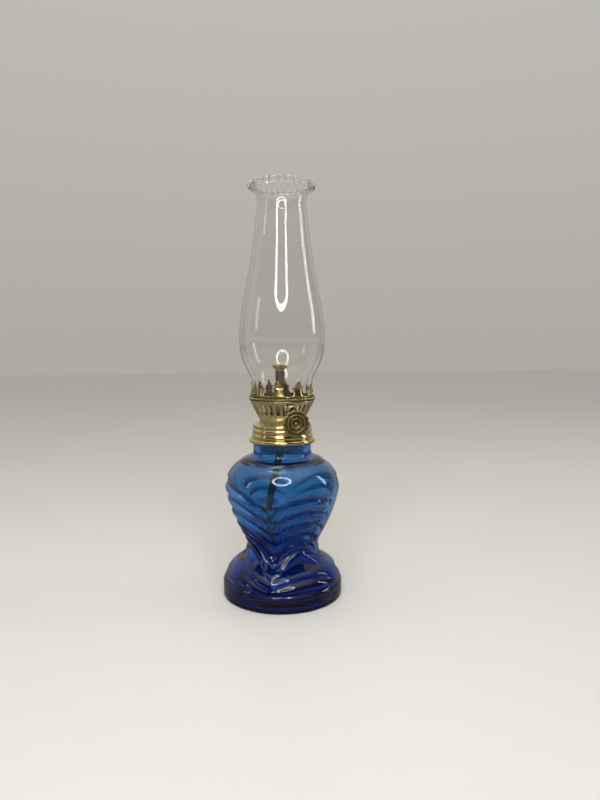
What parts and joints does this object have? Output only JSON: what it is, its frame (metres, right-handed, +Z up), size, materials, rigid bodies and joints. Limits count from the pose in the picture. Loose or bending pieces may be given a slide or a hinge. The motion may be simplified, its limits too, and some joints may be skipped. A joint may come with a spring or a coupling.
{
  "type": "oil lamp",
  "caption": "Table oil lamp: blown blue glass font on a round foot, brass flat-wick burner with a turning knob, and a clear tapering glass chimney with a beaded mouth.",
  "frame": {"origin": "on the table, under the centre of the foot", "axes": "+Z up along the lamp; the wick winder's shaft lies along Y with its knob on the -Y side"},
  "size_m": [0.065, 0.065, 0.2209],
  "materials": {
    "blue_glass": "cobalt-blue blown glass, glossy, moulded chevron ribs",
    "clear_glass": "clear blown glass, glossy",
    "polished_brass": "bright spun brass, lacquered",
    "stamped_brass": "stamped sheet brass, slightly dulled",
    "aged_brass": "antiqued cast brass, dark in the recesses",
    "shaft_steel": "dull plated steel",
    "cotton_wick": "woven cotton, charred at the top",
    "plaster": "matt plaster"
  },
  "bodies": {
    "font": {"oil_font": "blue_glass", "neck_collar": "polished_brass", "collar_cement": "plaster"},
    "burner": {"burner_base": "polished_brass", "burner_floor": "polished_brass", "air_basket": "stamped_brass", "draught_plate": "stamped_brass", "pearl_band": "stamped_brass", "prong_crown": "stamped_brass", "wick_tube": "stamped_brass", "sprocket_housing": "stamped_brass", "vent_tube": "stamped_brass"},
    "winder": {"winder_shaft": "shaft_steel", "spur_wheel_front": "shaft_steel", "spur_wheel_rear": "shaft_steel", "wick_knob": "aged_brass"},
    "wick": {"wick": "cotton_wick", "wick_tail": "cotton_wick"},
    "chimney": {"glass_chimney": "clear_glass"}
  },
  "joints": [
    {"name": "burner_lift", "type": "slide", "parent": "font", "child": "burner", "axis": [0, 0, 1], "range_m": [0, 0.08]},
    {"name": "chimney_lift", "type": "slide", "parent": "burner", "child": "chimney", "axis": [0, 0, 1], "range_m": [0, 0.03]},
    {"name": "knob_spin", "type": "hinge", "parent": "burner", "child": "winder", "pos_m": [0.0016, 0, 0.0958], "axis": [0, 1, 0], "range_deg": [-270, 170]},
    {"name": "wick_slide", "type": "slide", "parent": "burner", "child": "wick", "axis": [0, 0, 1], "range_m": [-0.0091, 0.0058]}
  ],
  "couplings": [
    {"joint": "wick_slide", "follows": "knob_spin", "m_per_rad": 0.00192}
  ]
}
